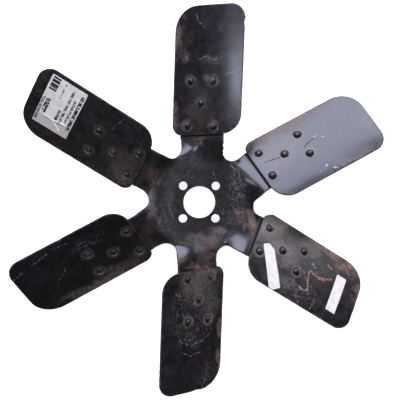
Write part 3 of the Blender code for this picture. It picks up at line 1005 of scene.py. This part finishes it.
def soft_spots(tree, flat, side, spots):
    """The strongest of some soft ovals; side turns their places across to the blank's Y."""
    strongest = 0.0
    for (x, y), (length, width), strength in spots:
        offset = add_node(
            tree, "ShaderNodeVectorMath", [flat, (x * MM, side * y * MM, 0.0)],
            operation="SUBTRACT",
        )
        shares = add_node(
            tree, "ShaderNodeVectorMath", [offset, (1.0 / (length * MM), 1.0 / (width * MM), 0.0)],
            operation="MULTIPLY",
        )
        away = add_node(tree, "ShaderNodeVectorMath", [shares], 1, operation="LENGTH")
        near = add_node(
            tree, "ShaderNodeMapRange", [away, 1.0, 0.1, 0.0, strength],
            interpolation_type="SMOOTHSTEP",
        )
        strongest = add_node(tree, "ShaderNodeMath", [near, strongest], operation="MAXIMUM")
    return strongest


def strokes(tree, flat, side, lines, width):
    """1 along drawn lines of this width in metres, and 0 away from them."""
    nearest = 1.0
    for line in lines:
        points = [Vector((x * MM, side * y * MM, 0.0)) for x, y in line]
        for start, end in zip(points, points[1:]):
            run = end - start
            offset = add_node(tree, "ShaderNodeVectorMath", [flat, start], operation="SUBTRACT")
            share = add_node(
                tree, "ShaderNodeVectorMath", [offset, run / run.length_squared], 1,
                operation="DOT_PRODUCT",
            )
            share = add_node(tree, "ShaderNodeClamp", [share])
            foot = add_node(tree, "ShaderNodeVectorMath", {0: run, "Scale": share}, operation="SCALE")
            away = add_node(tree, "ShaderNodeVectorMath", [offset, foot], 1, operation="DISTANCE")
            nearest = add_node(tree, "ShaderNodeMath", [away, nearest], operation="MINIMUM")
    return add_node(tree, "ShaderNodeMapRange", [nearest, width * 0.5, width * 0.2])


def strayed(tree, flat, spot, size, reach):
    """Places moved about by noise of this size, so that what is drawn on them isn't regular."""
    stray = add_node(
        tree, "ShaderNodeTexNoise", {"Vector": spot, "Scale": 1.0 / size, "Detail": 4.0}, "Color",
    )
    centred = add_node(tree, "ShaderNodeVectorMath", [stray, (0.5, 0.5, 0.5)], operation="SUBTRACT")
    return add_node(
        tree, "ShaderNodeVectorMath", [centred, (reach, reach, 0.0), flat],
        operation="MULTIPLY_ADD",
    )


HALO_RADIUS = 10.0 * MM
HALO_CORE_RADIUS = 5.6 * MM
HALO_RIM_RADIUS = 8.2 * MM


def rivet_halo(tree, drawn, strength):
    """Pale film round each rivet of a blade, and a black ring of painted shade at its foot.

    A film stronger than 0.3 also has a thin paler rim.
    """
    nearest = 1.0
    for station, across in rivet_places():
        place = blank_point(0.0, station, across).to_3d()
        away = add_node(tree, "ShaderNodeVectorMath", [drawn, place], 1, operation="DISTANCE")
        nearest = add_node(tree, "ShaderNodeMath", [away, nearest], operation="MINIMUM")
    film = add_node(
        tree, "ShaderNodeMapRange", [nearest, HALO_RADIUS, HALO_CORE_RADIUS, 0.0, strength],
        interpolation_type="SMOOTHSTEP",
    )
    film = broken_up(tree, film, drawn, 6.0 * MM, 0.3, 0.6, least=0.35)
    to_rim = add_node(tree, "ShaderNodeMath", [nearest, HALO_RIM_RADIUS], operation="SUBTRACT")
    to_rim = add_node(tree, "ShaderNodeMath", [to_rim], operation="ABSOLUTE")
    rim_strength = max(0.0, 2.0 * strength - 0.6)
    rim = add_node(tree, "ShaderNodeMapRange", [to_rim, 1.0 * MM, 0.2 * MM, 0.0, rim_strength])
    rim = broken_up(tree, rim, drawn, 8.0 * MM, 0.42, 0.6)
    film = add_node(tree, "ShaderNodeMath", [film, rim], operation="MAXIMUM")
    # The second mask is painted shade: a dark ring just outside each rivet's head
    return film, add_node(tree, "ShaderNodeMapRange", [nearest, 5.5 * MM, 4.9 * MM, 0.0, 0.8])


SEAM_WIDTH = 5.2 * MM
SEAM_SET_IN = 0.6 * MM


def seam_shadow(tree, flat, arms):
    """Painted shadow: black on the spider in the seam along a blade's inner edge."""
    (left_station, left), _ = BLADE_CORNERS[0]
    (right_station, right), _ = BLADE_CORNERS[3]
    lines = []
    for number in arms:
        ends = (left_station - SEAM_SET_IN, left), (right_station - SEAM_SET_IN, right)
        points = [blank_point(arm_angle(number), *end) / MM for end in ends]
        lines.append([(point.x, point.y) for point in points])
    return strokes(tree, flat, SPIDER_SIDE, lines, SEAM_WIDTH)


def rubbed_and_sheen_rings(tree, drawn, spot, rings):
    """Soft pale bands round the hub, each at a radius in mm, broken into arcs and kept to one side:
    partly rubbed paint and partly painted reflection off the hub step.
    """
    radius = add_node(tree, "ShaderNodeVectorMath", [drawn], 1, operation="LENGTH")
    strongest = 0.0
    for ring, strength in rings:
        away = add_node(tree, "ShaderNodeMath", [radius, ring * MM], operation="SUBTRACT")
        away = add_node(tree, "ShaderNodeMath", [away], operation="ABSOLUTE")
        band = add_node(tree, "ShaderNodeMapRange", [away, 3.2 * MM, 0.4 * MM, 0.0, strength])
        strongest = add_node(tree, "ShaderNodeMath", [band, strongest], operation="MAXIMUM")
    strongest = broken_up(tree, strongest, spot, 26.0 * MM, 0.38, 0.6, 2.0)
    rubbed_and_lit_side = soft_spots(tree, drawn, SPIDER_SIDE, RUBBED_AND_LIT_SIDE)
    return add_node(tree, "ShaderNodeMath", [strongest, rubbed_and_lit_side], operation="MULTIPLY")


def aged_enamel(name, number, side, dust, rust, halo=0.0, dusty=(), rusty=(), crazed=(),
                scratches=(), scuffs=(), cuts=(), wax=(), shadowed_seams=(), rings=()):
    """Black stoving enamel on pressed steel, years old: a soft gloss, dulled by dust and rust.

    The number shifts the patterns, so that no two pieces are worn alike.
    """
    material, tree, shader = new_material(name)
    node = partial(add_node, tree)
    flat = node("ShaderNodeUVMap", uv_map="flat")
    front = node("ShaderNodeAttribute", output="Fac", attribute_name="front")
    inward = node("ShaderNodeAttribute", output="Fac", attribute_name="inward")
    shift = [PATTERN_SHIFT[0] * number, PATTERN_SHIFT[1] * number, front]
    shift = node("ShaderNodeCombineXYZ", shift)
    spot = node("ShaderNodeVectorMath", [flat, shift], operation="ADD")
    drawn = strayed(tree, flat, spot, 6.0 * MM, 4.0 * MM)
    loose = strayed(tree, flat, spot, 16.0 * MM, 30.0 * MM)

    # Dust: a thin film all over, more in the spots and round rivets, and in pale rings on the hub that
    # are partly painted reflection off its step, broken up at 3 mm
    film = node("ShaderNodeMix", {0: front, 2: BACK_DUST, 3: dust})
    film = broken_up(tree, film, spot, 11.0 * MM, 0.25, 0.75)
    # On the spider the pale rings stand partly for painted reflection off the hub step; on a blade the
    # film round the rivets comes with painted shade at their feet
    if rings:
        around, foot = rubbed_and_sheen_rings(tree, drawn, spot, rings), 0.0
    else:
        around, foot = rivet_halo(tree, drawn, halo)
    for mask in (soft_spots(tree, loose, side, dusty), around):
        mask = node("ShaderNodeMath", [mask, front], operation="MULTIPLY")
        film = node("ShaderNodeMath", [film, mask], operation="MAXIMUM")
    film = broken_up(tree, film, spot, 3.2 * MM, 0.3, 0.68, least=0.45)

    # Fine wear: streaks rubbed one way, crazing in 5 mm cells with speckle, specks in the dust
    streaks = node("ShaderNodeMapping", {
        0: spot, "Rotation": (0.0, 0.0, 0.4 * number), "Scale": (0.06, 1.0, 1.0),
    })
    rubbed = blotches(tree, streaks, 1.1 * MM, 0.68, 0.8, 2.0)
    veins = node("ShaderNodeTexVoronoi", {
        "Vector": drawn, "Scale": 1.0 / (5.0 * MM),
    }, "Distance", feature="DISTANCE_TO_EDGE")
    veins = node("ShaderNodeMapRange", [veins, 0.1, 0.02])
    veins = broken_up(tree, veins, spot, 5.0 * MM, 0.42, 0.62)
    speckle = blotches(tree, spot, 2.4 * MM, 0.55, 0.72, 6.0)
    veins = node("ShaderNodeMath", [veins, speckle], operation="MAXIMUM")
    where = soft_spots(tree, loose, side, crazed)
    veins = node("ShaderNodeMath", [veins, where], operation="MULTIPLY")
    specks = broken_up(tree, film, spot, 1.6 * MM, 0.7, 0.78, 2.0)

    # Rust: brown bloom at the spots, creeping in from sheared edges, with pits under 2 mm
    bloom = node("ShaderNodeMix", {0: front, 2: BACK_RUST, 3: rust})
    bloom = broken_up(tree, bloom, spot, 14.0 * MM, 0.45, 0.75)
    where = soft_spots(tree, loose, side, rusty)
    where = node("ShaderNodeMath", [where, front], operation="MULTIPLY")
    edge = node("ShaderNodeMapRange", [inward, 2.2 * MM, 0.3 * MM, 0.0, 0.45])
    edge = broken_up(tree, edge, spot, 7.0 * MM, 0.4, 0.65)
    for mask in (where, edge):
        bloom = node("ShaderNodeMath", [bloom, mask], operation="MAXIMUM")
    bloom = broken_up(tree, bloom, spot, 3.6 * MM, 0.3, 0.66, least=0.15)
    pits = blotches(tree, spot, 1.6 * MM, 0.28, 0.6, 3.0)
    rust_tone = layered(tree, linear(RUST_DARK), [(pits, linear(RUST_LIGHT))])

    # Pale marks: scratches and scuffs down to the primer, on the front alone
    fine = strokes(tree, drawn, side, scratches, 1.1 * MM)
    fine = broken_up(tree, fine, spot, 2.6 * MM, 0.42, 0.62)
    rubs = strokes(tree, drawn, side, scuffs, 1.7 * MM)
    rubs = broken_up(tree, rubs, spot, 1.8 * MM, 0.44, 0.56)
    pale = 0.0
    for mask, share in ((fine, 0.36), (rubs, 1.0), (veins, 0.27), (rubbed, 0.12)):
        mask = node("ShaderNodeMath", [mask, share], operation="MULTIPLY")
        pale = node("ShaderNodeMath", [mask, pale], operation="MAXIMUM")
    pale = node("ShaderNodeMath", [pale, front], operation="MULTIPLY")
    pale = node("ShaderNodeMath", [specks, 0.6, pale], operation="MULTIPLY_ADD", use_clamp=True)

    # Dark marks: cuts, painted shade round the rivets' feet, painted shadow in the seams, and the
    # sheared rim
    dark = strokes(tree, drawn, side, cuts, 1.1 * MM)
    dark = node("ShaderNodeMath", [dark, foot], operation="MAXIMUM")
    # Painted shadow in the seams along the blades' inner edges
    if shadowed_seams:
        dark = node("ShaderNodeMath", [dark, seam_shadow(tree, flat, shadowed_seams)], operation="MAXIMUM")
    dark = node("ShaderNodeMath", [dark, front], operation="MULTIPLY")
    behind = node("ShaderNodeMath", [1.0, front], operation="SUBTRACT")
    rim_face = node("ShaderNodeMapRange", [inward, 0.6 * MM, 0.4 * MM, 0.0, 0.75])
    rim_face = node("ShaderNodeMath", [rim_face, behind], operation="MULTIPLY")
    dark = node("ShaderNodeMath", [dark, rim_face], operation="MAXIMUM")

    # Strokes of brown wax crayon, broken where the paint is low
    waxed = strokes(tree, drawn, side, wax, 2.6 * MM)
    waxed = broken_up(tree, waxed, spot, 1.7 * MM, 0.41, 0.55)
    waxed = node("ShaderNodeMath", [waxed, front], operation="MULTIPLY")

    # Paint, blue-black where sound and chalked to grey in wide patches, under all of these
    chalked = blotches(tree, spot, 24.0 * MM, 0.38, 0.72)
    paint = layered(tree, linear(ENAMEL_BLACK), [
        (chalked, linear(ENAMEL_CHALKED)), (film, linear(ROAD_DUST)), (bloom, rust_tone),
        (pale, linear(SCUFFED)), (dark, linear(GRIME_AND_SHADE)), (waxed, linear(WAX_BROWN)),
    ])
    gloss = node("ShaderNodeMapRange", [film, 0.0, 0.6, 0.19, 0.5])
    for mask, roughness in ((bloom, 0.85), (pale, 0.5), (dark, 0.9), (waxed, 0.6)):
        gloss = node("ShaderNodeMix", {0: mask, 2: gloss, 3: roughness})

    # Relief: brush-fine ripple in the paint, rust and wax standing proud, and cuts
    ripple = node("ShaderNodeTexNoise", {"Vector": spot, "Scale": 1.0 / (3.0 * MM), "Detail": 2.0})
    relief = node("ShaderNodeMath", [ripple, 0.25], operation="MULTIPLY")
    for mask, height in ((bloom, pits), (waxed, 0.8), (dark, -0.8)):
        relief = node("ShaderNodeMath", [mask, height, relief], operation="MULTIPLY_ADD")
    bump = node("ShaderNodeBump", {"Strength": 0.5, "Distance": 0.1 * MM, "Height": relief})
    give(tree, shader, {"Base Color": paint, "Roughness": gloss, "Normal": bump})
    return material


def rivet_enamel():
    """The same enamel on hammered steel heads: worn thin on the crowns, with painted shade blackening
    the lower rim of each head.
    """
    material, tree, shader = new_material("enamelled_rivet_steel")
    node = partial(add_node, tree)
    spot = node("ShaderNodeTexCoord", output="Object")
    worn = blotches(tree, spot, 2.4 * MM, 0.4, 0.65)
    rusted = blotches(tree, spot, 30.0 * MM, 0.5, 0.62, 2.0)
    rusted = broken_up(tree, rusted, spot, 1.5 * MM, 0.4, 0.6)
    # Painted shade darkening each head's lower rim
    foot = node("ShaderNodeAttribute", output="Fac", attribute_name="foot")
    paint = layered(tree, linear(RIVET_BLACK), [
        (worn, linear(RIVET_WORN)), (rusted, linear(RIVET_RUST)), (foot, linear(RIVET_RIM_SHADE)),
    ])
    gloss = node("ShaderNodeMapRange", [worn, 0.0, 1.0, 0.15, 0.3])
    for mask, roughness in ((rusted, 0.7), (foot, 0.75)):
        gloss = node("ShaderNodeMix", {0: mask, 2: gloss, 3: roughness})
    dents = node("ShaderNodeTexNoise", {"Vector": spot, "Scale": 1.0 / (1.6 * MM), "Detail": 2.0})
    bump = node("ShaderNodeBump", {"Strength": 0.4, "Distance": 0.2 * MM, "Height": dents})
    give(tree, shader, {"Base Color": paint, "Roughness": gloss, "Normal": bump})
    return material


# Print on the label in mm: station, the two ends across the blade, height, and how heavy. Rows
# are filled with dashes and bars with stripes, of the sizes below
LABEL_ROWS = [
    (213.6, -18.0, 16.0, 3.0, 0.85), (208.2, -6.0, 13.0, 5.4, 1.0), (197.4, 20.0, 39.0, 1.6, 0.8),
    (191.8, -8.0, 7.0, 3.6, 1.0), (186.5, -9.0, 36.0, 3.0, 0.9), (180.4, -4.0, 27.0, 3.0, 0.9),
    (174.9, -12.0, 36.0, 4.0, 1.0),
]
LABEL_BARS = [(208.9, 24.0, 40.5, 9.0, 1.0), (210.4, 24.0, 36.0, 6.0, 1.0)]
DASH_HEIGHT = 3.846 * MM
DASH_LENGTH = 1.613 * MM
LABEL_CREASE = [(206.0, -8.4), (195.0, -8.1), (177.5, -5.9)]
LABEL_FOLD = [(195.0, -8.1), (183.0, -16.5)]


def label_print(tree, place):
    """The label's dashes and bars, from 0 on bare paper to 1 where the ink is solid."""
    node = partial(add_node, tree)
    along, left = node("ShaderNodeSeparateXYZ", [place]).node.outputs[:2]
    ink = 0.0
    for boxes, stretch, detail, solid in (
        (LABEL_ROWS, (1.0 / DASH_HEIGHT, 1.0 / DASH_LENGTH, 1.0), 1.0, 0.48),
        (LABEL_BARS, (0.0, 1.0 / DASH_LENGTH, 0.0), 0.0, 0.47),
    ):
        grain = node("ShaderNodeVectorMath", [place, stretch], operation="MULTIPLY")
        grain = node("ShaderNodeTexNoise", {"Vector": grain, "Scale": 1.0, "Detail": detail})
        grain = node("ShaderNodeMapRange", [grain, 0.4, solid])
        for station, start, end, height, weight in boxes:
            in_row = node(
                "ShaderNodeMath", [along, station * MM, height * 0.5 * MM], operation="COMPARE",
            )
            centre = -(start + end) * 0.5 * MM
            in_line = node(
                "ShaderNodeMath", [left, centre, (end - start) * 0.5 * MM], operation="COMPARE",
            )
            box = grain
            for share in (in_row, in_line, weight):
                box = node("ShaderNodeMath", [box, share], operation="MULTIPLY")
            ink = node("ShaderNodeMath", [box, ink], operation="MAXIMUM")
    return ink


def label_stock():
    """Coated label paper, creased and grimy, with grey dashes and plain bars for its print, a painted
    highlight and a painted shadow along its crease, and painted shade past it.
    """
    material, tree, shader = new_material("printed_label_paper")
    node = partial(add_node, tree)
    flat = node("ShaderNodeUVMap", uv_map="flat")
    station, across = PAPERS["paper_label"][1]
    place = node("ShaderNodeVectorMath", [flat, (station, -across, 0.0)], operation="ADD")
    left = node("ShaderNodeSeparateXYZ", [place], "Y")
    grime = blotches(tree, flat, 9.0 * MM, 0.35, 0.8)
    # Painted shade: the paper past the crease turned greyer
    shaded_past_crease = node("ShaderNodeMapRange", [left, 7.0 * MM, 10.0 * MM])
    drawn = strayed(tree, place, flat, 5.0 * MM, 3.0 * MM)
    # Painted highlight: a near-white line along the crease and its fold
    crease = strokes(tree, drawn, BLADE_SIDE, [LABEL_CREASE, LABEL_FOLD], 1.3 * MM)
    below = node("ShaderNodeVectorMath", [drawn, (0.0, 2.0 * MM, 0.0)], operation="SUBTRACT")
    shadow = strokes(tree, below, BLADE_SIDE, [LABEL_CREASE], 1.6 * MM)
    shadow = node("ShaderNodeMath", [shadow, 0.7], operation="MULTIPLY")
    paper = layered(tree, linear(LABEL_WHITE), [
        (grime, linear(LABEL_GRIMY)), (shaded_past_crease, linear(LABEL_SHADED_GREY)),
        (label_print(tree, place), linear(LABEL_INK)), (crease, linear(CREASE_HIGHLIGHT)),
        (shadow, linear(CREASE_SHADOW)),
    ])
    wrinkles = node("ShaderNodeTexNoise", {"Vector": flat, "Scale": 1.0 / (12.0 * MM), "Detail": 3.0})
    bump = node("ShaderNodeBump", {"Strength": 0.35, "Distance": 0.6 * MM, "Height": wrinkles})
    give(tree, shader, {"Base Color": paper, "Roughness": 0.45, "Normal": bump})
    return material


# Spacing of a wave texture's bands at scale 1, in metres
WAVE_SPACING = 0.314
RIB_SPACING = 0.8 * MM


def masking_tape():
    """White paper tape: matt, with faint cross ribs 0.8 mm apart, wrinkled and a little soiled."""
    material, tree, shader = new_material("white_masking_tape")
    node = partial(add_node, tree)
    flat = node("ShaderNodeUVMap", uv_map="flat")
    soiled = blotches(tree, flat, 7.0 * MM, 0.4, 0.85)
    paper = layered(tree, linear(TAPE_WHITE), [(soiled, linear(TAPE_SOILED))])
    ribs = node("ShaderNodeTexWave", {
        "Vector": flat, "Scale": WAVE_SPACING / RIB_SPACING, "Distortion": 2.0,
        "Detail Scale": 400.0,
    })
    wrinkles = node("ShaderNodeTexNoise", {"Vector": flat, "Scale": 1.0 / (6.0 * MM), "Detail": 3.0})
    relief = node("ShaderNodeMath", [ribs, 0.12, wrinkles], operation="MULTIPLY_ADD")
    bump = node("ShaderNodeBump", {"Strength": 0.3, "Distance": 0.5 * MM, "Height": relief})
    give(tree, shader, {"Base Color": paper, "Roughness": 0.8, "Normal": bump})
    return material


def floor_paper():
    """White paper lit from below as on a light table, so that shadows stay pale."""
    material, tree, shader = new_material("backlit_white_paper")
    spot = add_node(tree, "ShaderNodeTexCoord", output="Object")
    tone = blotches(tree, spot, 60.0 * MM, 0.3, 0.7)
    give(tree, shader, {
        "Base Color": layered(tree, linear("dedede"), [(tone, linear("e4e4e4"))]),
        "Roughness": 0.9, "Emission Color": linear("ffffff"), "Emission Strength": 0.75,
    })
    return material


# Stage. Each soft box has its azimuth, its elevation, its width and height in metres, its
# radiance against white, its colour, and its turn about the line along which it is aimed
SOFT_BOX_DISTANCE = 1.6
SOFT_BOXES = {
    "window_light": (93.0, 36.0, 2.2, 0.84, 9.0, "e0e4ff", 11.0),
    "high_side_light": (155.0, 56.0, 0.23, 0.46, 10.5, "e0e4ff", 0.0),
    "low_fill_light": (38.0, 29.0, 0.6, 0.45, 1.8, "ffffff", 0.0),
    "upper_right_light": (42.0, 64.0, 0.6, 0.4, 2.6, "f4f5ff", 0.0),
    "ceiling_panel": (0.0, 89.0, 1.5, 1.5, 0.3, "eef0ff", 0.0),
}
SKY_ON_MATT = 0.48
SKY_IN_GLOSS = 0.05
FLOOR_HALF_SIDE = 6.0
FLOOR_DROP = 0.2 * MM


def add_soft_box(name, azimuth, elevation, width, height, radiance, colour, slant):
    """Hang a soft box at this azimuth and elevation, in degrees, and aim it at the fan."""
    light = bpy.data.lights.new(name, "AREA")
    light.shape = "RECTANGLE"
    light.size = width
    light.size_y = height
    light.color = linear(colour)[:3]
    light.energy = radiance * math.pi * width * height
    item = linked_object(name, light)
    around = Matrix.Rotation(math.radians(azimuth), 3, "Z")
    raised = Matrix.Rotation(-math.radians(elevation), 3, "Y")
    place = around @ raised @ Vector((SOFT_BOX_DISTANCE, 0.0, 0.0))
    item.location = place
    aim = (-place).to_track_quat("-Z", "Y").to_matrix()
    item.rotation_euler = (aim @ Matrix.Rotation(math.radians(slant), 3, "Z")).to_euler()


def set_stage():
    floor = bmesh.new()
    bmesh.ops.create_grid(floor, x_segments=1, y_segments=1, size=FLOOR_HALF_SIDE)
    item = finished_object("floor", floor, floor_paper())
    item.location = (0.0, 0.0, -FLOOR_DROP)
    for name, settings in SOFT_BOXES.items():
        add_soft_box(name, *settings)
    world = bpy.data.worlds.new("soft_daylight")
    world.use_nodes = True
    tree = world.node_tree
    glossy = add_node(tree, "ShaderNodeLightPath", output="Is Glossy Ray")
    strength = add_node(tree, "ShaderNodeMix", {0: glossy, 2: SKY_ON_MATT, 3: SKY_IN_GLOSS})
    give(tree, tree.nodes["Background"], {"Color": linear("ffffff"), "Strength": strength})
    bpy.context.scene.world = world
    bpy.context.scene.view_settings.view_transform = "Standard"


def add_camera():
    camera = bpy.data.cameras.new("camera")
    camera.lens = CAMERA_LENS_MM
    camera.sensor_width = CAMERA_SENSOR_MM
    camera.shift_x, camera.shift_y = CAMERA_SHIFT
    camera.clip_start = CAMERA_CLIP_START
    item = linked_object("camera", camera)
    item.rotation_mode = "ZXY"
    item.rotation_euler = [math.radians(angle) for angle in CAMERA_TILT]
    item.location = CAMERA_PLACE
    bpy.context.scene.camera = item


def main():
    add_camera()
    set_stage()
    press = press_tree()
    rims = {}
    for number in ARM_NUMBERS:
        name = f"aged_enamel_blade_{number}"
        enamel = aged_enamel(name, number, BLADE_SIDE, **BLADE_WEAR[number])
        rims[number] = make_blade(number, press, enamel)
    make_spider(aged_enamel("aged_enamel_spider", SPIDER_NUMBER, SPIDER_SIDE, **SPIDER_WEAR))
    make_rivets(rivet_enamel())
    tape = masking_tape()
    for name, (number, *_) in PAPERS.items():
        make_paper(name, press, label_stock() if name == "paper_label" else tape, rims[number])


main()
